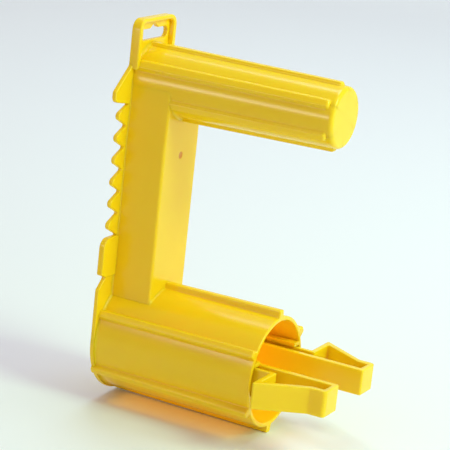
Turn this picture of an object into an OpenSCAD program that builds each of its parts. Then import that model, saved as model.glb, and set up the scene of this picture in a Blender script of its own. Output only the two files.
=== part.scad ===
// Hand winder for electric-fence line: a grip, a box spine and a ribbed barrel
// that carries a line spool, with two sprung latches in the barrel's mouth.
// X runs from the back plate towards the open mouth, Z runs up the spine.
// The origin is on the barrel's axis, on the rear face of the back plate.

/* [Back plate] */
// Thickness of the back plate, mm
plate_t = 2.5; // [2:0.1:3]
// Half width of the plate beside the spine, mm
plate_half_w = 20.1; // [19.6:0.1:21]
// Radius of the plate's round lower end, mm
disc_r = 33.8; // [33.2:0.1:34.6]

/* [Hang tab] */
// Height of the top of the tab, mm
tab_top = 185; // [184:0.5:188]
// Depth of the tab's raised rim, measured from the rear face, mm
tab_rim_x = 5.9; // [5:0.1:7]
// Thickness of the raised rim, mm
tab_rim_t = 3.5; // [3:0.1:4]
// Width of the hanging slot, mm
slot_w = 30; // [26:0.5:31]
// Height of the hanging slot, mm
slot_h = 6.2; // [5.4:0.2:7]

/* [Spine] */
// Half width of the box spine, mm
spine_half_w = 19.1; // [19:0.1:19.6]
// Distance from the rear face to the front of the spine, mm
spine_x = 27.6; // [25:0.2:30]
// Wall thickness of the spine, mm
spine_wall = 2.5; // [2:0.1:3]

/* [Handle] */
// Height of the handle's axis above the barrel's axis, mm
handle_z = 150; // [148:0.5:152]
// Distance from the rear face to the end of the handle's side, mm
handle_x = 124; // [115:0.5:130]
// Radius of the handle at its rear, mm
handle_r_rear = 18.8; // [18.5:0.1:19]
// Radius of the handle at its front, mm
handle_r_front = 17.2; // [16.5:0.1:17.8]
// Wall thickness of the hollow handle, mm
handle_wall = 3; // [2.5:0.1:3.5]
// Height of the ribs above the handle, mm
handle_rib_h = 2; // [1.6:0.1:2.4]
// Width of the handle ribs, mm
handle_rib_w = 4.8; // [4:0.1:5.4]

/* [Barrel] */
// Outer radius of the barrel, mm
barrel_r = 32; // [31.8:0.1:32.4]
// Wall thickness of the barrel, mm
barrel_wall = 2.4; // [2:0.1:2.8]
// Distance from the rear face to the barrel's mouth, mm
barrel_x = 101.5; // [98:0.5:104]
// Radius over the barrel ribs at the back plate, mm
rib_r_rear = 35.3; // [34.8:0.1:35.6]
// Radius over the barrel ribs at the mouth, mm
rib_r_front = 36.3; // [35.8:0.1:36.6]
// Width of the barrel ribs, mm
barrel_rib_w = 4.6; // [4:0.1:5.2]

/* [Line holders] */
// Distance from the middle of the plate to the tips of the small teeth, mm
tooth_tip_y = 32; // [30:0.2:33]
// Distance between one small tooth and the next, mm
tooth_pitch = 12.6; // [12.2:0.1:12.8]
// Number of small teeth on each side
tooth_count = 6; // [4:1:6]
// Distance from the middle of the plate to the tip of the large tooth, mm
hook_tip_y = 34.9; // [33:0.2:36]
// Depth of the line notch in the lower flange, mm
notch_depth = 5.4; // [4:0.2:6]
// Thickness of the flange above the notch, mm
flange_t = 3.7; // [3:0.1:4.5]

/* [Latches] */
// Lowest point of the latches, mm
latch_z0 = -6.4; // [-7:0.1:-6]
// Highest point of the latches, mm
latch_z1 = 8.6; // [8:0.1:8.8]
// Distance from the middle to the inner face of a latch, mm
latch_in_y = 15.6; // [15.4:0.1:16]
// Distance from the middle to the outer face of the leg inside the barrel, mm
latch_out_y = 26.3; // [26:0.1:26.6]
// Distance from the middle to the point of the catch, mm
catch_y = 48.2; // [46:0.2:49]
// Distance from the rear face to the catch's holding face, mm
catch_x = 110.4; // [108:0.2:112]
// Distance from the rear face to the end of the finger pad, mm
pad_x = 147.4; // [145:0.2:150]
// Distance from the middle to the outer face of the finger pad, mm
pad_y = 32.2; // [30:0.2:33]

/* [Hidden] */
$fn = 96;

body_yellow = "gold";
latch_yellow = "goldenrod";
arc_steps = 8;      // straight steps in each rounded corner of an outline
past = 1;           // how far cutting solids run past what they cut

// Back plate and tab
tab_z = 158.6;              // where the plate becomes the tab
tab_corner_r = 6;
shoulder_z = 12;            // height of the square shoulders over the round end
slot_z = tab_top - 9.9;     // middle of the slot
slot_peak_r = 4.5;          // round peak that centres the hook
slot_peak_dz = 0.8;

// Line holders, as heights on the plate's edge
flange_top = 61.4;
flange_corner_r = 6;
notch_top = 40.4;
notch_root_z = 37.6;
notch_foot = 31.5;
tooth_tip_r = 1.6;
tooth_lift = 1;             // how far a tip sits above the middle of its base
hook_low = flange_top + tooth_count * tooth_pitch + 0.4;
hook_tip_r = 3.6;

// Handle
cap_x = handle_x - 3;       // where the hollow handle ends and its cap begins
cap_rise = 2.5;             // how far the cap's middle stands out
cap_edge_r = 1.4;
rib_gap = 2.5;              // plain length between the ribs and the handle's end
dome_base_r = handle_r_front - cap_edge_r;
dome_r = (dome_base_r * dome_base_r + cap_rise * cap_rise) / (2 * cap_rise);

// Latches
arm_t = 3.4;                // inner leg
outer_leg_t = 2.6;          // leg beside the barrel wall
ramp_t = 3.2;               // sloping outer wall of the catch
catch_t = 3;                // wall with the holding face
pad_t = 3;                  // end wall of the finger pad
ramp_end_x = 137.7;         // where the ramp turns parallel to the axis
pivot_x = 12;               // latches flex about this point
pivot_y = (latch_in_y + latch_out_y) / 2;
knuckle_r = (latch_out_y - latch_in_y) / 2;
root_gap = 0.3;             // clearance around each latch's knuckle
root_wall = 2.2;            // root block beyond its knuckle
guide_t = 2.2;
guide_gap = 0.7;            // between latch and guide
guide_in_y = 21.4;
guide_x = 45;

// Points of the rounded corner at b, between the sides towards a and c
function corner(a, b, c, r) =
    r <= 0 ? [b] :
    let (u = (a - b) / norm(a - b), v = (c - b) / norm(c - b),
         half = acos(u * v) / 2,
         centre = b + (u + v) / norm(u + v) * r / sin(half),
         p = b + u * r / tan(half) - centre,
         q = b + v * r / tan(half) - centre,
         start = atan2(p.y, p.x),
         turn = atan2(p.x * q.y - p.y * q.x, p * q))
    [for (i = [0 : arc_steps])
        centre + r * [cos(start + turn * i / arc_steps), sin(start + turn * i / arc_steps)]];

// Outline through corners given as [across, up, corner radius]
function rounded(pts) =
    let (n = len(pts))
    [for (i = [0 : n - 1])
        each corner([pts[(i + n - 1) % n].x, pts[(i + n - 1) % n].y], [pts[i].x, pts[i].y],
                    [pts[(i + 1) % n].x, pts[(i + 1) % n].y], pts[i].z)];

// Stands a flat shape drawn in Y and Z up on the X axis, from x to x + depth
module stand(x, depth)
    translate([x, 0, 0])
        rotate([90, 0, 90]) linear_extrude(depth) children();

// Side 1 is left (+Y), side -1 is right
module on_side(side) mirror([0, side > 0 ? 0 : 1, 0]) children();

// Cylinder or cone along X, on an axis at height z
module rod(x, length, r1, r2, z = 0)
    translate([x, 0, z]) rotate([0, 90, 0]) cylinder(h = length, r1 = r1, r2 = r2);

function handle_r(x) =
    handle_r_rear + (handle_r_front - handle_r_rear) * x / handle_x;

// Cone that follows the handle's side, larger by extra, from x0 to x1
module handle_cone(extra, x0, x1)
    rod(x0, x1 - x0, handle_r(x0) + extra, handle_r(x1) + extra, handle_z);

// Bar pointing out from the handle's axis at an angle from straight up
module handle_bar(angle, x0, x1)
    translate([x0, 0, handle_z]) rotate([angle, 0, 0])
        translate([0, -handle_rib_w / 2, 0])
            cube([x1 - x0, handle_rib_w, handle_r_rear + 2 * handle_rib_h]);

// Ribs above the spine start at the plate, the others at the spine's front
module handle_rib_set() {
    difference() {
        intersection() {
            handle_cone(handle_rib_h, plate_t, handle_x - rib_gap);
            union() {
                for (angle = [-60, 0, 60])
                    handle_bar(angle, plate_t, handle_x - rib_gap);
                for (angle = [120, 180, 240])
                    handle_bar(angle, spine_x, handle_x - rib_gap);
            }
        }
        handle_cone(0, plate_t - past, handle_x);
    }
}

// Everything of the handle that another sub-part could run into
module handle_solid() {
    handle_cone(0, -past, handle_x);
    for (angle = [-60, 60])
        intersection() {
            handle_cone(handle_rib_h, 0, handle_x - rib_gap);
            handle_bar(angle, 0, handle_x - rib_gap);
        }
}

module tab_outline(inset)
    polygon(rounded([[-plate_half_w + inset, tab_z, 0],
                     [plate_half_w - inset, tab_z, 0],
                     [plate_half_w - inset, tab_top - inset, tab_corner_r - inset],
                     [-plate_half_w + inset, tab_top - inset, tab_corner_r - inset]]));

module back_plate() {
    inner_w = spine_half_w - spine_wall;
    color(body_yellow)
        difference() {
            union() {
                rod(0, plate_t, disc_r, disc_r);
                translate([0, -disc_r, 0]) cube([plate_t, 2 * disc_r, shoulder_z]);
                translate([0, -plate_half_w, 0]) cube([plate_t, 2 * plate_half_w, tab_z]);
            }
            // The hollows of the handle and the spine are open at the back
            handle_cone(-handle_wall, -past, plate_t + past);
            translate([-past, -inner_w, barrel_r + spine_wall])
                cube([plate_t + 2 * past, 2 * inner_w,
                      handle_z - handle_r_rear - 2 * spine_wall - barrel_r]);
        }
}

module hang_tab_web() {
    half_slot = slot_w / 2 - slot_h / 2;
    color(body_yellow)
        difference() {
            stand(0, plate_t) tab_outline(0);
            stand(-past, plate_t + 2 * past) {
                translate([-half_slot, slot_z - slot_h / 2]) square([2 * half_slot, slot_h]);
                for (y = [-half_slot, half_slot])
                    translate([y, slot_z]) circle(slot_h / 2);
                translate([0, slot_z + slot_peak_dz]) circle(slot_peak_r);
            }
            handle_cone(-handle_wall, -past, plate_t + past);
        }
}

module hang_tab_rim() {
    color(body_yellow)
        difference() {
            stand(plate_t, tab_rim_x - plate_t)
                difference() {
                    tab_outline(0);
                    tab_outline(tab_rim_t);
                    translate([-plate_half_w + tab_rim_t, tab_z - past])
                        square([2 * (plate_half_w - tab_rim_t), 2 * past]);
                }
            handle_solid();
        }
}

// Large tooth at the top of the plate's edge
module line_hook(side) {
    color(body_yellow)
        on_side(side)
            stand(0, plate_t)
                polygon(rounded([[plate_half_w, hook_low, 0],
                                 [hook_tip_y, hook_low + 2.4, hook_tip_r],
                                 [hook_tip_y, hook_low + 8.2, hook_tip_r / 2],
                                 [plate_half_w, tab_z, 0]]));
}

// Column of small teeth with round tips
module line_teeth(side) {
    tip_over = 0.7;     // how far rounding brings each tip back
    color(body_yellow)
        on_side(side)
            for (i = [0 : tooth_count - 1]) {
                base = flange_top + i * tooth_pitch;
                stand(0, plate_t)
                    polygon(rounded([[plate_half_w, base, 0],
                                     [tooth_tip_y + tip_over, base + tooth_pitch / 2 + tooth_lift,
                                      tooth_tip_r],
                                     [plate_half_w, base + tooth_pitch, 0]]));
            }
}

// Lower flange of the plate with the notch that traps the line's end
module notch_flange(side) {
    root_y = disc_r - notch_depth;
    color(body_yellow)
        on_side(side)
            difference() {
                union() {
                    stand(0, plate_t)
                        polygon(rounded([[plate_half_w, shoulder_z, 0],
                                         [disc_r, shoulder_z, 0],
                                         [disc_r, notch_foot, 1.5],
                                         [root_y, notch_root_z - 0.6, 0.3],
                                         [root_y, notch_root_z + 0.6, 0.3],
                                         [disc_r, notch_top, 0.6],
                                         [disc_r, flange_top, flange_corner_r],
                                         [plate_half_w, flange_top, 0]]));
                    stand(plate_t, flange_t - plate_t)
                        polygon(rounded([[plate_half_w, notch_root_z + 0.6, 0],
                                         [root_y, notch_root_z + 0.6, 0.3],
                                         [disc_r, notch_top, 0.6],
                                         [disc_r, flange_top, flange_corner_r],
                                         [plate_half_w, flange_top, 0]]));
                }
                rod(-past, plate_t + 2 * past, disc_r, disc_r);
            }
}

// Space taken by the barrel and the handle, cut from the spine's walls
module spine_ends() {
    rod(0, spine_x + past, barrel_r, barrel_r);
    handle_cone(0, -past, handle_x);
}

module spine_front_wall() {
    color(body_yellow)
        difference() {
            translate([spine_x - spine_wall, -spine_half_w, 0])
                cube([spine_wall, 2 * spine_half_w, handle_z]);
            spine_ends();
        }
}

module spine_side(side) {
    color(body_yellow)
        on_side(side)
            difference() {
                translate([plate_t, spine_half_w - spine_wall, 0])
                    cube([spine_x - spine_wall - plate_t, spine_wall, handle_z]);
                spine_ends();
            }
}

module handle_tube() {
    color(body_yellow)
        difference() {
            handle_cone(0, plate_t, cap_x);
            handle_cone(-handle_wall, plate_t - past, cap_x + past);
        }
}

module handle_ribs() color(body_yellow) handle_rib_set();

// Closed end of the handle, with a low domed face
module handle_end_cap() {
    color(body_yellow)
        intersection() {
            union() {
                handle_cone(0, cap_x, handle_x - cap_edge_r);
                translate([handle_x - cap_edge_r, 0, handle_z]) rotate([0, 90, 0])
                    rotate_extrude() {
                        square([dome_base_r, cap_edge_r + cap_rise]);
                        translate([dome_base_r, 0])
                            intersection() {
                                circle(cap_edge_r);
                                square(cap_edge_r);
                            }
                    }
            }
            translate([handle_x + cap_rise - dome_r, 0, handle_z]) sphere(dome_r);
        }
}

module barrel_tube() {
    color(body_yellow)
        difference() {
            rod(plate_t, barrel_x - plate_t, barrel_r, barrel_r);
            rod(plate_t - past, barrel_x - plate_t + 2 * past,
                barrel_r - barrel_wall, barrel_r - barrel_wall);
        }
}

// One barrel rib, drawn as its side view and pointing straight up
module barrel_rib(x0)
    rotate([90, 0, 0])
        translate([0, 0, -barrel_rib_w / 2])
            linear_extrude(barrel_rib_w)
                polygon([[x0, barrel_r / 2], [barrel_x, barrel_r / 2],
                         [barrel_x, rib_r_front], [x0, rib_r_rear]]);

module barrel_ribs() {
    color(body_yellow)
        difference() {
            union() {
                barrel_rib(spine_x);
                for (angle = [60, 300])
                    rotate([angle, 0, 0]) barrel_rib(plate_t);
                // The lower ribs stand out beyond the plate's round end
                for (angle = [120, 180, 240])
                    rotate([angle, 0, 0]) barrel_rib(0);
            }
            rod(-past, barrel_x + 2 * past, barrel_r, barrel_r);
            rod(-past, plate_t + past, disc_r, disc_r);
        }
}

// Ledges inside the mouth, above and below each latch
module latch_guides() {
    color(body_yellow)
        intersection() {
            rod(guide_x, barrel_x - guide_x, barrel_r - barrel_wall, barrel_r - barrel_wall);
            for (side = [-1, 1], z = [latch_z1 + guide_gap, latch_z0 - guide_gap - guide_t])
                on_side(side)
                    translate([guide_x, guide_in_y, z])
                        cube([barrel_x - guide_x, barrel_r, guide_t]);
        }
}

// Block on the back plate that each latch grows from
module latch_root(side) {
    color(body_yellow)
        on_side(side)
            difference() {
                translate([plate_t, latch_in_y - root_wall, latch_z0])
                    cube([pivot_x - plate_t, 2 * (knuckle_r + root_wall), latch_z1 - latch_z0]);
                translate([pivot_x, pivot_y, latch_z0 - past])
                    cylinder(h = latch_z1 - latch_z0 + 2 * past, r = knuckle_r + root_gap);
                // Keeps the block inside the barrel's bore
                difference() {
                    rod(0, barrel_x, 2 * barrel_r, 2 * barrel_r);
                    rod(-past, barrel_x + 2 * past, barrel_r - barrel_wall, barrel_r - barrel_wall);
                }
            }
}

// Extrudes a latch outline, drawn from above, over the latch's height
module latch_slab() translate([0, 0, latch_z0]) linear_extrude(latch_z1 - latch_z0) children();

// Two parallel legs that meet in a round knuckle at the pivot
module latch_arm(side) {
    slot_in = latch_in_y + arm_t;
    slot_out = latch_out_y - outer_leg_t;
    slot_end = pivot_x + knuckle_r;
    color(latch_yellow)
        on_side(side)
            latch_slab()
                difference() {
                    union() {
                        translate([pivot_x, pivot_y]) circle(knuckle_r);
                        translate([pivot_x, latch_in_y])
                            square([pad_x - pad_t - pivot_x, arm_t]);
                        translate([pivot_x, latch_in_y])
                            square([catch_x - pivot_x, 2 * knuckle_r]);
                    }
                    translate([slot_end, slot_in])
                        square([catch_x - slot_end + past, slot_out - slot_in]);
                }
}

// Holding face and the ramp that pushes the latch in as a spool slides on
module latch_hook(side) {
    leg_y = latch_out_y - outer_leg_t;
    inner_run = ramp_end_x - catch_x - catch_t;
    slope = (catch_y - pad_y) / (ramp_end_x - catch_x);
    across = ramp_t * sqrt(1 + slope * slope);
    color(latch_yellow)
        on_side(side)
            latch_slab()
                polygon(rounded([[catch_x, leg_y, 0],
                                 [catch_x + catch_t, leg_y, 0],
                                 [catch_x + catch_t, pad_y - across + inner_run * slope, 0],
                                 [ramp_end_x, pad_y - across, 0],
                                 [ramp_end_x, pad_y, 0],
                                 [catch_x, catch_y, 0.8]]));
}

// Finger pad: end wall and the short side that joins it to the ramp
module latch_pad(side) {
    slope = (catch_y - pad_y) / (ramp_end_x - catch_x);
    across = ramp_t * sqrt(1 + slope * slope);
    color(latch_yellow)
        on_side(side)
            latch_slab()
                polygon(rounded([[pad_x - pad_t, latch_in_y, 0],
                                 [pad_x, latch_in_y, 1],
                                 [pad_x, pad_y, 1],
                                 [ramp_end_x, pad_y, 0],
                                 [ramp_end_x, pad_y - across, 0],
                                 [pad_x - pad_t, pad_y - across, 0]]));
}

back_plate();
hang_tab_web();
hang_tab_rim();
line_hook(1);  // line_hook_left
line_hook(-1);  // line_hook_right
line_teeth(1);  // line_teeth_left
line_teeth(-1);  // line_teeth_right
notch_flange(1);  // notch_flange_left
notch_flange(-1);  // notch_flange_right
spine_front_wall();
spine_side(1);  // spine_side_left
spine_side(-1);  // spine_side_right
handle_tube();
handle_ribs();
handle_end_cap();
barrel_tube();
barrel_ribs();
latch_guides();
latch_root(1);  // latch_root_left
latch_root(-1);  // latch_root_right
latch_arm(1);  // latch_arm_left
latch_arm(-1);  // latch_arm_right
latch_hook(1);  // latch_hook_left
latch_hook(-1);  // latch_hook_right
latch_pad(1);  // latch_pad_left
latch_pad(-1);  // latch_pad_right
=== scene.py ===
"""Looks for the fence-line hand winder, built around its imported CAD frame, in metres.

X runs from the back plate to the barrel's mouth, Z up the spine. Each piece takes its size from
the CAD nodes it stands for, and adds the rounded edges and fillets of one glossy yellow moulding.
"""

import math

import bmesh
import bpy
from mathutils import Matrix, Vector


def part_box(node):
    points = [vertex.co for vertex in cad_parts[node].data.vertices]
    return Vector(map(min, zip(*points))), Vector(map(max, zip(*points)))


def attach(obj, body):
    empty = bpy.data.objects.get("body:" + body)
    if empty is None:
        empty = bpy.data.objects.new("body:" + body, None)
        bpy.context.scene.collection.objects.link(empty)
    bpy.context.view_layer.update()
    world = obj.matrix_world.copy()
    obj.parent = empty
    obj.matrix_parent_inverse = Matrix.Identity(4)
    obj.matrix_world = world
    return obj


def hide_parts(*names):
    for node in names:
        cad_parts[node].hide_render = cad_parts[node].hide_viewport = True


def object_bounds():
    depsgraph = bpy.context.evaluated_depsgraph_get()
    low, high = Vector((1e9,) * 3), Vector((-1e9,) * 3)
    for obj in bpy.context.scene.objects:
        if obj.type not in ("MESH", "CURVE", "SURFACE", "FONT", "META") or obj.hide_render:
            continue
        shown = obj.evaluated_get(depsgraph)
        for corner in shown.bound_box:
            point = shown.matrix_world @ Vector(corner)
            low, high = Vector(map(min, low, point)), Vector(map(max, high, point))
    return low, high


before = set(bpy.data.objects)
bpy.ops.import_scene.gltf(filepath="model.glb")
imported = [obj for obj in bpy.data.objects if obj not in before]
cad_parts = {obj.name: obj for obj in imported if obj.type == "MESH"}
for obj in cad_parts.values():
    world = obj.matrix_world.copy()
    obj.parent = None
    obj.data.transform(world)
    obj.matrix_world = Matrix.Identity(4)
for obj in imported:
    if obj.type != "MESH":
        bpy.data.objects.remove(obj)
cad_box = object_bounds()

MM = 0.001
ARC_STEPS = 6  # straight steps in each rounded corner

# Sizes read from the frame
plate_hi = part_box("back_plate")[1]
spine_lo, spine_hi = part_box("spine_front_wall")
tab_lo, tab_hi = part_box("hang_tab_rim")
web_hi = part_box("hang_tab_web")[1]
hook_lo, hook_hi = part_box("line_hook_left")
teeth_lo, teeth_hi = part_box("line_teeth_left")
flange_lo, flange_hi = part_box("notch_flange_left")
handle_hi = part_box("handle_tube")[1]
grip_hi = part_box("handle_ribs")[1]
cap_lo, cap_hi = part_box("handle_end_cap")
barrel_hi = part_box("barrel_tube")[1]
fin_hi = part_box("barrel_ribs")[1]
arm_lo, arm_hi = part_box("latch_arm_left")
catch_lo, catch_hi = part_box("latch_hook_left")
pad_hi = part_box("latch_pad_left")[1]

plate_t = plate_hi.x
plate_half_w = web_hi.y
disc_r = plate_hi.y
spine_x = spine_hi.x
spine_half_w = spine_hi.y
handle_z = (cap_lo.z + cap_hi.z) / 2
handle_r_rear = handle_hi.y
handle_r_front = cap_hi.y
cap_edge_x = cap_hi.x - 2.5 * MM
barrel_r = barrel_hi.y
mouth_x = barrel_hi.x
fin_r_front = fin_hi.z


# ---------------------------------------------------------------- outlines and meshes

def corner(a, b, c, radius):
    """Points of the rounded corner at b, between the sides towards a and c."""
    if radius <= 0:
        return [b]
    u = (a - b).normalized()
    v = (c - b).normalized()
    half = u.angle(v) / 2
    centre = b + (u + v).normalized() * (radius / math.sin(half))
    p = b + u * (radius / math.tan(half)) - centre
    q = b + v * (radius / math.tan(half)) - centre
    turn = math.atan2(p.x * q.y - p.y * q.x, p.dot(q))
    points = []
    for i in range(ARC_STEPS + 1):
        points.append(centre + Matrix.Rotation(turn * i / ARC_STEPS, 2) @ p)
    return points


def rounded(corners):
    """Outline through (across, up, corner radius), in metres."""
    points = [Vector(c[:2]) for c in corners]
    outline = []
    for i, c in enumerate(corners):
        outline += corner(points[i - 1], points[i], points[(i + 1) % len(points)], c[2])
    return outline


def mirrored(outline):
    """The same outline with its first coordinate mirrored."""
    return [Vector((-p.x, p.y)) for p in reversed(outline)]


def new_object(name, data):
    """Object in the scene."""
    obj = bpy.data.objects.new(name, data)
    bpy.context.scene.collection.objects.link(obj)
    return obj


def made_mesh(name, work):
    """Mesh of a finished bmesh, which is freed."""
    mesh = bpy.data.meshes.new(name)
    work.to_mesh(mesh)
    work.free()
    return mesh


def face_outwards(mesh):
    """Joins doubled points of one closed shell and turns its faces outwards."""
    work = bmesh.new()
    work.from_mesh(mesh)
    bmesh.ops.remove_doubles(work, verts=work.verts, dist=0.002 * MM)
    bmesh.ops.recalc_face_normals(work, faces=work.faces)
    work.to_mesh(mesh)
    work.free()


def finish_mesh(obj, sharp_deg=38):
    """Smooth shading that keeps flat faces flat."""
    obj.data.polygons.foreach_set("use_smooth", [True] * len(obj.data.polygons))
    obj.data.set_sharp_from_angle(angle=math.radians(sharp_deg))
    weighted = obj.modifiers.new("even_shading", "WEIGHTED_NORMAL")
    weighted.keep_sharp = True


def piece(name, mesh, body, nodes, material):
    """Puts a mesh in the scene as a piece that stands for CAD nodes."""
    obj = new_object(name, mesh)
    obj.data.materials.clear()
    obj.data.materials.append(material)
    finish_mesh(obj)
    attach(obj, body)
    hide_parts(*nodes)
    return obj


def slab_mesh(name, loops, low, high, edge, upright=True):
    """Solid from closed outlines, with rounded edges. Upright slabs are drawn in Y and Z."""
    curve = bpy.data.curves.new(name, "CURVE")
    curve.dimensions = "2D"
    curve.fill_mode = "BOTH"
    curve.extrude = (high - low) / 2 - edge
    curve.bevel_depth = edge
    curve.bevel_resolution = 2
    curve.offset = -edge
    for loop in loops:
        spline = curve.splines.new("POLY")
        spline.points.add(len(loop) - 1)
        for point, place in zip(spline.points, loop):
            point.co = (place.x, place.y, 0, 1)
        spline.use_cyclic_u = True
    drawn = new_object(name, curve)
    bpy.context.view_layer.update()
    shown = drawn.evaluated_get(bpy.context.evaluated_depsgraph_get())
    mesh = bpy.data.meshes.new_from_object(shown)
    bpy.data.objects.remove(drawn)
    mesh.transform(Matrix.Translation((0, 0, (low + high) / 2)))
    if upright:
        mesh.transform(Matrix(((0, 0, 1, 0), (1, 0, 0, 0), (0, 1, 0, 0), (0, 0, 0, 1))))
    face_outwards(mesh)
    return mesh


def loft_mesh(name, rings, ends):
    """Quads between rings of equal length, with ends that are "fan", "flat" or "joined"."""
    work = bmesh.new()
    rows = [[work.verts.new(p) for p in ring] for ring in rings]
    pairs = list(zip(rows, rows[1:]))
    if ends == "joined":
        pairs.append((rows[-1], rows[0]))
    for a, b in pairs:
        for i in range(len(a)):
            work.faces.new((a[i - 1], a[i], b[i], b[i - 1]))
    for row in (rows[0], rows[-1]):
        if ends == "fan":
            middle = work.verts.new(sum((v.co for v in row), Vector()) / len(row))
            for i in range(len(row)):
                work.faces.new((row[i - 1], row[i], middle))
        if ends == "flat":
            end = work.faces.new(row)
            bmesh.ops.triangulate(work, faces=[end])
    mesh = made_mesh(name, work)
    face_outwards(mesh)
    return mesh


def dimpled(mesh, place, radius, depth):
    """The mesh with a shallow round dimple in its front."""
    ball_r = (radius ** 2 + depth ** 2) / (2 * depth)
    work = bmesh.new()
    bmesh.ops.create_uvsphere(work, u_segments=48, v_segments=64, radius=ball_r)
    ball = made_mesh("ball", work)
    ball.transform(Matrix.Rotation(math.pi / 2, 4, "Y"))
    ball.transform(Matrix.Translation(place + Vector((ball_r - depth, 0, 0))))
    cutter = new_object("cutter", ball)
    uncut = new_object("uncut", mesh)
    cut = uncut.modifiers.new("cut", "BOOLEAN")
    cut.operation = "DIFFERENCE"
    cut.object = cutter
    bpy.context.view_layer.update()
    shown = uncut.evaluated_get(bpy.context.evaluated_depsgraph_get())
    result = bpy.data.meshes.new_from_object(shown)
    for obj in (cutter, uncut):
        bpy.data.objects.remove(obj)
    return result


# ---------------------------------------------------------------- ribbed tubes

def rib_half(core_r, top_r, half_w, edge_r, root_r, draft):
    """One side of a rib's section, from the middle of its top to the tube, as (across, out)."""
    points = [(0, top_r)]
    for i in range(ARC_STEPS + 1):
        a = math.radians(90 - 90 * i / ARC_STEPS)
        across = half_w - edge_r + edge_r * math.cos(a)
        points.append((across, top_r - edge_r + edge_r * math.sin(a)))
    root_across = half_w + draft + root_r
    root_out = math.sqrt((core_r + root_r) ** 2 - root_across ** 2)
    end = math.pi + math.atan2(root_out, root_across)
    for i in range(ARC_STEPS + 1):
        a = math.pi + (end - math.pi) * i / ARC_STEPS
        points.append((root_across + root_r * math.cos(a), root_out + root_r * math.sin(a)))
    return points


def ribbed_ring(x, z, core_r, rib, rises, swell=0.0, swell_deg=(0, 0)):
    """Ring round the X axis at height z, with six ribs scaled by rises (first rib on top).

    rib holds what rib_half needs after the core's radius. A fillet can swell the core between
    two angles, in degrees from the top.
    """
    half = rib_half(core_r, *rib)
    section = [(-s, n) for s, n in reversed(half[1:])] + half
    spacing = math.tau / len(rises)
    gap_steps = 14
    last = math.atan2(*half[-1])
    ring = []
    for i, rise in enumerate(rises):
        middle = spacing * i
        for s, n in section:
            r = core_r + (math.hypot(s, n) - core_r) * rise
            ring.append((middle + math.atan2(s, n), r))
        for j in range(1, gap_steps):
            along = last + (spacing - 2 * last) * j / gap_steps
            ring.append((middle + along, core_r))
    points = []
    for angle, r in ring:
        turned = math.degrees(angle) % 360
        in_arc = swell_deg[0] <= turned <= swell_deg[1] or turned - 360 >= swell_deg[0]
        if swell and in_arc:
            r = max(r, core_r + swell)
        points.append(Vector((x, r * math.sin(angle), z + r * math.cos(angle))))
    return points


def plain_ring(x, z, r, like):
    """Round ring whose points stand at the same angles as the ring it follows."""
    points = []
    for p in like:
        angle = math.atan2(p.y, p.z - z)
        points.append(Vector((x, r * math.sin(angle), z + r * math.cos(angle))))
    return points


def quarter(steps):
    """(across, along) of a unit quarter circle, from (1, 0) to (0, 1)."""
    return [(math.cos(math.pi / 2 * i / steps), math.sin(math.pi / 2 * i / steps))
            for i in range(steps + 1)]


# ---------------------------------------------------------------- material

def yellow_plastic(name, seed, grain=1.0, depth=2.5 * MM):
    """Glossy, slightly translucent moulded plastic with faint flow marks and a fine skin."""
    mat = bpy.data.materials.new(name)
    mat.use_nodes = True
    nodes = mat.node_tree.nodes
    links = mat.node_tree.links
    shader = nodes["Principled BSDF"]
    place = nodes.new("ShaderNodeTexCoord")
    shift = nodes.new("ShaderNodeMapping")
    shift.inputs["Location"].default_value = (0.13 * seed, 0.07 * seed, 0.19 * seed)
    links.new(place.outputs["Object"], shift.inputs["Vector"])

    flow = nodes.new("ShaderNodeTexNoise")
    flow.inputs["Scale"].default_value = 26
    flow.inputs["Detail"].default_value = 3
    links.new(shift.outputs["Vector"], flow.inputs["Vector"])
    tint = nodes.new("ShaderNodeValToRGB")
    tint.color_ramp.elements[0].position = 0.3
    tint.color_ramp.elements[0].color = (0.92, 0.625, 0.007, 1)
    tint.color_ramp.elements[1].position = 0.7
    tint.color_ramp.elements[1].color = (0.94, 0.65, 0.010, 1)
    links.new(flow.outputs["Fac"], tint.inputs["Fac"])
    links.new(tint.outputs["Color"], shader.inputs["Base Color"])

    skin = nodes.new("ShaderNodeTexNoise")
    skin.inputs["Scale"].default_value = 240
    skin.inputs["Detail"].default_value = 4
    links.new(shift.outputs["Vector"], skin.inputs["Vector"])
    gloss = nodes.new("ShaderNodeMapRange")
    gloss.inputs["To Min"].default_value = 0.19
    gloss.inputs["To Max"].default_value = 0.24
    links.new(skin.outputs["Fac"], gloss.inputs["Value"])
    links.new(gloss.outputs["Result"], shader.inputs["Roughness"])

    waves = nodes.new("ShaderNodeBump")
    waves.inputs["Strength"].default_value = 0.03 * grain
    waves.inputs["Distance"].default_value = 1.2 * MM
    links.new(flow.outputs["Fac"], waves.inputs["Height"])
    fine = nodes.new("ShaderNodeBump")
    fine.inputs["Strength"].default_value = 0.03 * grain
    fine.inputs["Distance"].default_value = 0.12 * MM
    links.new(skin.outputs["Fac"], fine.inputs["Height"])
    links.new(waves.outputs["Normal"], fine.inputs["Normal"])
    links.new(fine.outputs["Normal"], shader.inputs["Normal"])

    shader.inputs["IOR"].default_value = 1.49
    shader.inputs["Specular IOR Level"].default_value = 0.36
    shader.inputs["Subsurface Weight"].default_value = 0.45
    shader.inputs["Subsurface Radius"].default_value = (1.0, 0.8, 0.3)
    shader.inputs["Subsurface Scale"].default_value = depth
    return mat


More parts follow.
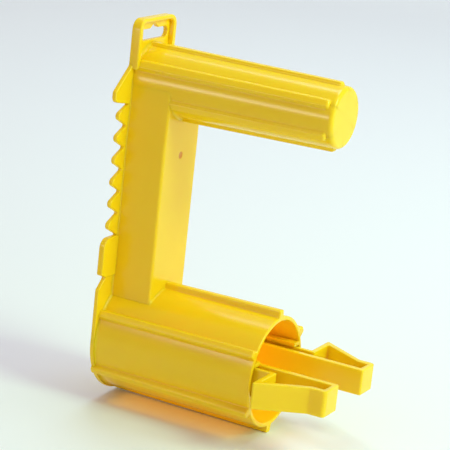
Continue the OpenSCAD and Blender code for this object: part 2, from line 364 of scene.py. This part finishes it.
def gate_mark(mat, place, radius):
    """Brownish spot where the plastic ran into the mould."""
    nodes = mat.node_tree.nodes
    links = mat.node_tree.links
    shader = nodes["Principled BSDF"]
    where = nodes.new("ShaderNodeTexCoord")
    apart = nodes.new("ShaderNodeVectorMath")
    apart.operation = "DISTANCE"
    apart.inputs[1].default_value = place
    links.new(where.outputs["Object"], apart.inputs[0])
    inside = nodes.new("ShaderNodeMapRange")
    inside.inputs["From Min"].default_value = radius
    inside.inputs["From Max"].default_value = 0.75 * radius
    links.new(apart.outputs["Value"], inside.inputs["Value"])
    tint = nodes.new("ShaderNodeMixRGB")
    tint.inputs["Color2"].default_value = (0.72, 0.28, 0.001, 1)
    links.new(inside.outputs["Result"], tint.inputs["Fac"])
    links.new(shader.inputs["Base Color"].links[0].from_socket, tint.inputs["Color1"])
    links.new(tint.outputs["Color"], shader.inputs["Base Color"])
    return mat


moulding = yellow_plastic("yellow_moulding", 1)
gate_drop = 0.322  # share of the way down from the grip's axis to the spine's foot
gate_place = Vector((spine_x, 0, handle_z - gate_drop * (handle_z - spine_lo.z)))
gate_r = 2.4 * MM
spine_moulding = gate_mark(yellow_plastic("yellow_spine_moulding", 1), gate_place, gate_r)
latch_moulding = yellow_plastic("yellow_latch_moulding", 4, 0.8, 6 * MM)


# ---------------------------------------------------------------- back plate and its edges

def bore_arc(level, above):
    """Part of the grip's bore above or below a level, from left to right, in Y and Z."""
    bore_r = handle_r_rear - 3 * MM
    start = math.asin((level - handle_z) / bore_r)
    turn = math.pi - 2 * start if above else -math.pi - 2 * start
    steps = 32
    points = []
    for i in range(steps + 1):
        a = math.pi - start - turn * i / steps
        points.append(Vector((bore_r * math.cos(a), handle_z + bore_r * math.sin(a))))
    return points


def back_plate():
    """Round end, square shoulders and the strip behind the spine, open behind the hollows."""
    edge = 0.4 * MM
    half_w = spine_half_w - 0.4 * MM
    top = tab_lo.z + 1 * MM
    side = math.acos((flange_lo.z + 1 * MM) / disc_r)
    steps = 60
    outline = []
    for i in range(steps + 1):
        a = side + (math.tau - 2 * side) * i / steps
        outline.append(Vector((disc_r * math.sin(a), disc_r * math.cos(a))))
    outline += [Vector((-half_w, outline[-1].y)), Vector((-half_w, top))]
    outline += bore_arc(top, False)
    outline += [Vector((half_w, top)), Vector((half_w, outline[0].y))]
    inner = spine_half_w - 2.5 * MM
    window_lo = barrel_r + 2.5 * MM
    window_hi = handle_z - handle_r_rear - 2.5 * MM
    window = rounded([(-inner, window_lo, 1.5 * MM), (inner, window_lo, 1.5 * MM),
                      (inner, window_hi, 1.5 * MM), (-inner, window_hi, 1.5 * MM)])
    mesh = slab_mesh("back_plate", [outline, window], 0, plate_t, edge)
    piece("moulded_back_plate", mesh, "frame", ["back_plate"], moulding)


def both_sides(name, outline, low, high, edge, node):
    """The same edge piece on the left and, mirrored, on the right."""
    for side, loop in (("left", outline), ("right", mirrored(outline))):
        mesh = slab_mesh(name, [loop], low, high, edge)
        piece(f"moulded_{name}_{side}", mesh, "frame", [f"{node}_{side}"], moulding)


def line_teeth():
    """Column of small teeth with round tips, on a strip that runs under the spine's side."""
    count = 6
    pitch = (teeth_hi.z - teeth_lo.z) / count
    root = plate_half_w
    tip = teeth_hi.y + 2.3 * MM  # the corner before it is rounded
    corners = [(root - 3 * MM, teeth_lo.z - 1 * MM, 0)]
    corners.append((root, teeth_lo.z - 1 * MM, 0))
    for i in range(count):
        base = teeth_lo.z + i * pitch
        corners.append((root + 0.3 * MM, base + 0.5 * MM, 0.7 * MM))
        corners.append((tip, base + pitch / 2 + 0.6 * MM, 2.5 * MM))
    corners.append((root + 0.3 * MM, teeth_hi.z, 0.7 * MM))
    corners.append((root, teeth_hi.z + 1 * MM, 0))
    corners.append((root - 3 * MM, teeth_hi.z + 1 * MM, 0))
    both_sides("line_teeth", rounded(corners), 0.02 * MM, plate_t + 0.3 * MM, 0.8 * MM,
               "line_teeth")


def line_hook():
    """Large tooth that the line is wound behind."""
    low, high = hook_lo.z, hook_hi.z
    tip = hook_hi.y
    corners = [(plate_half_w - 3 * MM, low - 1 * MM, 0),
               (plate_half_w, low - 1 * MM, 0),
               (plate_half_w + 1 * MM, low, 0.8 * MM),
               (tip, low + 2.4 * MM, 3.2 * MM),
               (tip, low + 8.2 * MM, 2 * MM),
               (plate_half_w - 0.2 * MM, high + 0.4 * MM, 3 * MM),
               (plate_half_w - 0.2 * MM, high + 6 * MM, 0),
               (plate_half_w - 4 * MM, high + 6 * MM, 0)]
    both_sides("line_hook", rounded(corners), 0.02 * MM, plate_t + 0.3 * MM, 0.7 * MM,
               "line_hook")


def notch_flange():
    """Lower flange with the tapering notch for the line's end, thicker above the notch."""
    high, out = flange_hi.z, flange_hi.y
    root = out - 5.4 * MM
    foot = flange_lo.z + 19.5 * MM
    notch = flange_lo.z + 25.6 * MM
    inner = plate_half_w - 3 * MM
    above = [(root, notch + 0.6 * MM, 0.5 * MM),
             (out, notch + 2.8 * MM, 1 * MM),
             (out, high, 5.5 * MM)]
    thin = [(inner, 0, 0), (out, 0, 0), (out, foot, 1.6 * MM), (root, notch - 0.8 * MM, 0.5 * MM),
            (root - 0.8 * MM, notch + 1 * MM, 0), (inner, notch + 1 * MM, 0)]
    thick = [(inner, notch + 0.6 * MM, 0)] + above + [(inner, high, 0)]
    for side in ("left", "right"):
        work = bmesh.new()
        for corners, rear, front, edge in ((thin, 0.03 * MM, plate_t, 0.5 * MM),
                                           (thick, 0.06 * MM, flange_hi.x, 0.6 * MM)):
            loop = rounded(corners) if side == "left" else mirrored(rounded(corners))
            work.from_mesh(slab_mesh("flange", [loop], rear, front, edge))
        mesh = made_mesh("notch_flange", work)
        piece(f"moulded_notch_flange_{side}", mesh, "frame", [f"notch_flange_{side}"], moulding)


# ---------------------------------------------------------------- hang tab

def hang_tab():
    """Web with the hanging slot, and the raised rim round it."""
    inset = 1 * MM
    half_w = plate_half_w - inset
    bottom = tab_lo.z
    top = tab_hi.z
    slot_z = top - 9.9 * MM
    slot_half = 15 * MM
    slot_r = 3.1 * MM
    peak = slot_z + 5.3 * MM
    web = rounded([(-half_w, bottom, 0), (half_w, bottom, 0),
                   (half_w, top - inset, 5 * MM), (-half_w, top - inset, 5 * MM)])
    opening = rounded([(-slot_half, slot_z - slot_r, slot_r - 0.1 * MM),
                       (slot_half, slot_z - slot_r, slot_r - 0.1 * MM),
                       (slot_half, slot_z + slot_r, slot_r - 0.1 * MM),
                       (4.4 * MM, slot_z + slot_r, 0.8 * MM),
                       (0, peak + 1.2 * MM, 1.6 * MM),
                       (-4.4 * MM, slot_z + slot_r, 0.8 * MM),
                       (-slot_half, slot_z + slot_r, slot_r - 0.1 * MM)])
    web = web[2:] + [web[0]] + bore_arc(bottom, True) + [web[1]]
    mesh = slab_mesh("hang_tab_web", [web, opening], 0, plate_t + 0.5 * MM, 0.5 * MM)
    piece("moulded_tab_web", mesh, "frame", ["hang_tab_web"], moulding)

    rim_t = 3.4 * MM
    rim_top_t = 2.4 * MM
    foot = bottom - 1.5 * MM
    inner_w = plate_half_w - rim_t
    rim = rounded([(-plate_half_w, foot, 0), (-plate_half_w, top, 6 * MM),
                   (plate_half_w, top, 6 * MM), (plate_half_w, foot, 0),
                   (inner_w, foot, 0), (inner_w, top - rim_top_t, 3 * MM),
                   (-inner_w, top - rim_top_t, 3 * MM), (-inner_w, foot, 0)])
    mesh = slab_mesh("hang_tab_rim", [rim], 0.04 * MM, tab_hi.x, 0.8 * MM)
    piece("moulded_tab_rim", mesh, "frame", ["hang_tab_rim"], moulding)


# ---------------------------------------------------------------- spine

def spine():
    """Box spine, open at the back, that runs from the barrel into the handle and widens to it."""
    wall = 2.5 * MM
    front_r = 1.6 * MM
    inner_w = spine_half_w - wall
    foot_r = 1.2 * MM
    side = [(plate_t - 0.5 * MM, spine_half_w + foot_r)]
    for across, along in quarter(ARC_STEPS):
        side.append((plate_t + foot_r - foot_r * across, spine_half_w + foot_r - foot_r * along))
    for along, across in reversed(quarter(ARC_STEPS)):
        side.append((spine_x - front_r + front_r * along,
                     spine_half_w - front_r + front_r * across))
    section = list(side)
    for i in range(1, 16):
        section.append((spine_x, (spine_half_w - front_r) * (1 - i / 8)))
    section += [(x, -y) for x, y in reversed(side)]
    inner = [(plate_t - 0.5 * MM, -inner_w), (spine_x - wall, -inner_w)]
    inner += [(spine_x - wall, -inner_w + inner_w * i / 4) for i in range(1, 8)]
    inner += [(spine_x - wall, inner_w), (plate_t - 0.5 * MM, inner_w)]
    loop = section + inner
    levels = 24
    top = handle_z + 1 * MM
    bite = 1.2 * MM  # how far the ends reach into both tubes
    flare_z = handle_z - 34 * MM
    flare_h = 24 * MM
    rings = []
    for k in range(levels + 1):
        ring = []
        for x, y in loop:
            handle_r = handle_r_rear + (handle_r_front - handle_r_rear) * x / cap_edge_x
            low = math.sqrt((barrel_r - bite) ** 2 - min(abs(y), spine_half_w) ** 2)
            reach = min(abs(y), handle_r - 1.3 * MM)
            high = handle_z - math.sqrt((handle_r - bite) ** 2 - reach ** 2)
            high = min(top, high) if abs(y) < handle_r - 1.4 * MM else top
            z = low + (high - low) * k / levels
            part = min(1, max(0, (z - flare_z) / flare_h))
            lean = part * part * (3 - 2 * part)
            width = spine_half_w + (handle_r - 0.12 * MM - spine_half_w) * lean
            ring.append(Vector((x, y * width / spine_half_w, z)))
        rings.append(ring)
    mesh = dimpled(loft_mesh("spine", rings, "flat"), gate_place, gate_r, 0.35 * MM)
    piece("moulded_spine", mesh, "frame",
          ["spine_front_wall", "spine_side_left", "spine_side_right"], spine_moulding)


# ---------------------------------------------------------------- handle

def handle():
    """Hollow ribbed grip with a closed, gently domed end."""
    rib_h = grip_hi.z - handle_z - handle_r_rear
    rear_w = 2.6 * MM
    front_w = 2.2 * MM
    wall = 3 * MM
    fillet = 2.4 * MM
    rear_fillet = 2.6 * MM
    cap_r = 2.4 * MM
    dome = cap_hi.x - cap_edge_x - 1.0 * MM

    def core(x):
        """Radius of the grip between its ribs, which tapers to the end cap."""
        return handle_r_rear + (handle_r_front - handle_r_rear) * x / cap_edge_x

    def ring(x, rise=1.0, behind=1.0, swell=0.0, swell_deg=(119, 241)):
        """Ring of the grip; behind scales the three lower ribs, which start past the spine."""
        part = x / cap_edge_x
        half_w = rear_w + (front_w - rear_w) * part
        half_w -= 1.5 * MM * (1 - rise)
        rib = (core(x) + rib_h, half_w, 1.0 * MM, 0.9 * MM, 0.5 * MM)
        low = rise * behind
        rises = [rise, rise, low, low, low, rise]
        return ribbed_ring(x, handle_z, core(x), rib, rises, swell, swell_deg)

    rings = [ring(plate_t, behind=0)]
    for across, along in quarter(ARC_STEPS):
        x = plate_t + 0.3 * MM + rear_fillet * (1 - across)
        rings.append(ring(x, behind=0, swell=rear_fillet * (1 - along), swell_deg=(-70, 70)))
    rings += [ring(spine_x - 0.6 * MM, behind=0), ring(spine_x - 0.5 * MM)]
    for across, along in quarter(ARC_STEPS):
        x = spine_x - 0.2 * MM + fillet * (1 - across)
        rings.append(ring(x, swell=fillet * (1 - along)))
    rings += [ring(x * MM) for x in (45, 70, 95)]
    end_r = 2 * MM
    for rise, along in quarter(8):
        rings.append(ring(grip_hi.x - end_r + end_r * along, rise))
    side_end = cap_edge_x - cap_r + 1.0 * MM
    smooth = ring(side_end, 0)
    for across, along in quarter(8):
        r = core(side_end) - cap_r + cap_r * across
        rings.append(plain_ring(side_end + cap_r * along, handle_z, r, smooth))
    edge_r = core(side_end) - cap_r
    for i in range(1, 8):
        r = edge_r * (1 - i / 8)
        x = side_end + cap_r + (dome - cap_r * 0.6) * (1 - (r / edge_r) ** 2)
        rings.append(plain_ring(x, handle_z, r, smooth))
    inner_x = cap_lo.x
    inner = [(0.5 * MM, inner_x), (core(inner_x) - wall - 2 * MM, inner_x),
             (core(inner_x) - wall, inner_x - 2 * MM), (core(plate_t) - wall, plate_t)]
    rings = [plain_ring(x, handle_z, r, smooth) for r, x in inner] + rings
    mesh = loft_mesh("handle", rings, "fan")
    piece("moulded_handle", mesh, "frame", ["handle_tube", "handle_ribs", "handle_end_cap"],
          moulding)


# ---------------------------------------------------------------- barrel

def barrel():
    """Ribbed tube that carries the spool, open at the mouth.

    The upper ribs start in front of the plate, and the top one in front of the spine.
    """
    fin_r_rear = 35.3 * MM
    half_w = 2.3 * MM
    bore_r = barrel_r - 2.4 * MM
    fillet = 1.5 * MM
    rear_fillet = 1.7 * MM
    lip = 0.7 * MM

    def ring(x, rises=(1, 1, 1, 1, 1, 1), swell=0.0, shrink=0.0, swell_deg=(-36, 36)):
        """Ring of the barrel, with the ribs in rises and all radii less shrink."""
        fin_r = fin_r_rear + (fin_r_front - fin_r_rear) * x / mouth_x
        rib = (fin_r - shrink, half_w - shrink, 1.3 * MM, 0.8 * MM, 0.3 * MM)
        return ribbed_ring(x, 0, barrel_r - shrink, rib, rises, swell, swell_deg)

    beside_plate = [0, 0, 1, 1, 1, 0]
    under_spine = [0, 1, 1, 1, 1, 1]
    rings = [ring(0.1 * MM, beside_plate, shrink=0.4 * MM),
             ring(0.5 * MM, beside_plate),
             ring(plate_t - 0.7 * MM, beside_plate),
             ring(plate_t - 0.2 * MM, under_spine)]
    for across, along in quarter(ARC_STEPS):
        x = plate_t - 0.1 * MM + rear_fillet * (1 - across)
        rings.append(ring(x, under_spine, swell=rear_fillet * (1 - along), swell_deg=(0, 360)))
    rings += [ring(spine_x - 0.6 * MM, under_spine), ring(spine_x - 0.5 * MM)]
    for across, along in quarter(ARC_STEPS):
        x = spine_x - 0.2 * MM + fillet * (1 - across)
        rings.append(ring(x, swell=fillet * (1 - along)))
    rings += [ring(x * MM) for x in (50, 75)]
    for across, along in quarter(5):
        rings.append(ring(mouth_x - lip + lip * along, shrink=lip * (1 - across)))
    like = rings[-1]
    for across, along in quarter(5):
        r = bore_r + lip * (1 - along)
        rings.append(plain_ring(mouth_x - lip + lip * across, 0, r, like))
    rings.append(plain_ring(mouth_x / 2, 0, bore_r - 0.1 * MM, like))
    rings.append(plain_ring(plate_t - 0.5 * MM, 0, bore_r - 0.2 * MM, like))
    mesh = loft_mesh("barrel", rings, "joined")
    piece("moulded_barrel", mesh, "frame", ["barrel_tube", "barrel_ribs"], moulding)


def rounded_nodes():
    """Ledges and root blocks inside the barrel keep their CAD shape, with soft edges."""
    for name in ("latch_guides", "latch_root_left", "latch_root_right"):
        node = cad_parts[name]
        node.data.materials.clear()
        node.data.materials.append(moulding)
        soft = node.modifiers.new("soft_edges", "BEVEL")
        soft.width = 0.4 * MM
        soft.segments = 3
        soft.limit_method = "ANGLE"


# ---------------------------------------------------------------- latches

def latches():
    """Each latch in one piece: two legs, a knuckle, the catch with its ramp, and the pad."""
    low, high = arm_lo.z, arm_hi.z
    pivot_x = 12 * MM
    in_y, leg_y = arm_lo.y, arm_hi.y
    pivot_y = (in_y + leg_y) / 2
    knuckle_r = (leg_y - in_y) / 2
    catch_x, catch_y = catch_lo.x, catch_hi.y
    pad_x, pad_y = pad_hi.x, pad_hi.y
    bend_x = catch_hi.x
    leg_t = 3.4 * MM
    outer_t = 2.6 * MM
    ramp_t = 3.2 * MM
    wall_t = 3 * MM
    slope = (catch_y - pad_y) / (bend_x - catch_x)
    across = ramp_t * math.sqrt(1 + slope * slope)
    outline = []
    steps = 12
    for i in range(steps + 1):
        a = math.pi / 2 + math.pi * i / steps
        outline.append(Vector((pivot_x + knuckle_r * math.cos(a), pivot_y + knuckle_r * math.sin(a))))
    outline += rounded([(pivot_x + 1 * MM, in_y, 0), (pad_x, in_y, 1.2 * MM),
                        (pad_x, pad_y, 2.4 * MM), (bend_x, pad_y, 3 * MM),
                        (catch_x, catch_y + 0.8 * MM, 1.0 * MM), (catch_x, leg_y, 0.8 * MM),
                        (pivot_x + 1 * MM, leg_y, 0)])
    inside_x = catch_x + wall_t
    space = rounded([(pivot_x + knuckle_r, in_y + leg_t, 1.5 * MM),
                     (pad_x - wall_t, in_y + leg_t, 0.8 * MM),
                     (pad_x - wall_t, pad_y - across, 0.8 * MM),
                     (bend_x, pad_y - across, 2 * MM),
                     (inside_x, pad_y - across + (bend_x - inside_x) * slope, 0.8 * MM),
                     (inside_x, leg_y - outer_t, 0.7 * MM),
                     (pivot_x + knuckle_r, leg_y - outer_t, 1.5 * MM)])
    for side in ("left", "right"):
        loops = [outline, space]
        if side == "right":
            loops = [[Vector((p.x, -p.y)) for p in reversed(loop)] for loop in loops]
        mesh = slab_mesh("latch", loops, low, high, 0.6 * MM, upright=False)
        nodes = [f"latch_arm_{side}", f"latch_hook_{side}", f"latch_pad_{side}"]
        piece(f"moulded_latch_{side}", mesh, f"latch_{side}", nodes, latch_moulding)


back_plate()
line_teeth()
line_hook()
notch_flange()
hang_tab()
spine()
handle()
barrel()
rounded_nodes()
latches()


# ---------------------------------------------------------------- floor, light and camera

def floor_and_background():
    """Pale floor under the barrel that sweeps up behind the winder."""
    low = cad_box[0].z
    turn_deg = 26.7
    front, back = -1.2, 1.6
    half_w, height = 3.0, 3.0
    sweep_r = 0.8
    profile = [(front, 0.0)]
    for across, along in quarter(24):
        profile.append((back + sweep_r * along, sweep_r * (1 - across)))
    profile.append((back + sweep_r, height))
    work = bmesh.new()
    rows = []
    for along, up in profile:
        rows.append([work.verts.new((side, along, low + up)) for side in (-half_w, half_w)])
    for a, b in zip(rows, rows[1:]):
        work.faces.new((a[0], a[1], b[1], b[0]))
    mesh = made_mesh("floor", work)
    floor = new_object("floor", mesh)
    floor.rotation_euler.z = math.radians(turn_deg)
    for polygon in mesh.polygons:
        polygon.use_smooth = True
    mat = bpy.data.materials.new("pale_floor")
    mat.use_nodes = True
    nodes = mat.node_tree.nodes
    shader = nodes["Principled BSDF"]
    noise = nodes.new("ShaderNodeTexNoise")
    noise.inputs["Scale"].default_value = 2
    ramp = nodes.new("ShaderNodeValToRGB")
    ramp.color_ramp.elements[0].color = (0.80, 0.84, 0.86, 1)
    ramp.color_ramp.elements[1].color = (0.84, 0.87, 0.88, 1)
    mat.node_tree.links.new(noise.outputs["Fac"], ramp.inputs["Fac"])
    mat.node_tree.links.new(ramp.outputs["Color"], shader.inputs["Base Color"])
    shader.inputs["Roughness"].default_value = 0.6
    mesh.materials.append(mat)


def soft_light(name, place, size, power, colour, aim=(0.06, 0, 0.07)):
    """Rectangular light that faces the winder, or another point."""
    data = bpy.data.lights.new(name, "AREA")
    data.shape = "RECTANGLE"
    data.size, data.size_y = size
    data.energy = power
    data.color = colour
    light = new_object(name, data)
    light.location = place
    light.rotation_euler = (Vector(aim) - Vector(place)).to_track_quat("-Z", "Y").to_euler()
    return light


def lights():
    """Soft window light from above and the right, an even room, and glow through the plastic."""
    soft_light("key", (1.3, -0.1, 1.1), (0.6, 0.6), 14, (0.66, 1, 0.62))
    soft_light("front", (1.5, 0.3, 0.3), (0.8, 0.8), 4.3, (0.8, 1, 0.6))
    strip = soft_light("strip", (-0.068, -0.34, 0.165), (0.195, 0.045), 0.32, (1, 0.97, 0.9),
                       (0.06, -0.02, 0.14))
    strip.visible_diffuse = False
    soft_light("backdrop", (0, 0.6, 1.8), (1.2, 1.2), 22.5, (0.68, 0.87, 0.98), (0.7, 1.6, 0.3))
    inside = soft_light("glow_inside", (mouth_x / 3, 0, 0), (0.03, 0.03), 0.02, (1, 0.55, 1),
                        (mouth_x, 0, 0))
    under_z = -barrel_r - 0.5 * MM
    under = soft_light("glow_below", (mouth_x / 2, 0, under_z), (0.8 * mouth_x, 0.05), 0.0044,
                       (1, 0.42, 0.02), (mouth_x / 2, 0, 2 * under_z))
    for glow in (inside, under):
        glow.visible_camera = False
        glow.visible_glossy = False
    world = bpy.data.worlds.new("room")
    bpy.context.scene.world = world
    world.use_nodes = True
    room = world.node_tree.nodes["Background"]
    room.inputs["Color"].default_value = (1, 0.815, 0.84, 1)
    room.inputs["Strength"].default_value = 0.58


def camera():
    """Same direction, distance and tilt as the photographed view."""
    place = (0.5306, -0.9344, 0.3555)
    azimuth, elevation, roll = (math.radians(a) for a in (26.73, 14.94, 6.27))
    focal_length = 155.06
    back = Vector((math.sin(azimuth) * math.cos(elevation),
                   -math.cos(azimuth) * math.cos(elevation), math.sin(elevation)))
    right = Vector((math.cos(azimuth), math.sin(azimuth), 0))
    up = back.cross(right)
    across = right * math.cos(roll) + up * math.sin(roll)
    upward = up * math.cos(roll) - right * math.sin(roll)
    data = bpy.data.cameras.new("camera")
    data.lens = focal_length
    data.clip_start, data.clip_end = 0.05, 20
    cam = new_object("camera", data)
    turn = Matrix((across, upward, back)).transposed().to_4x4()
    cam.matrix_world = Matrix.Translation(place) @ turn
    bpy.context.scene.camera = cam


floor_and_background()
lights()
camera()
bpy.context.scene.view_settings.view_transform = "Standard"
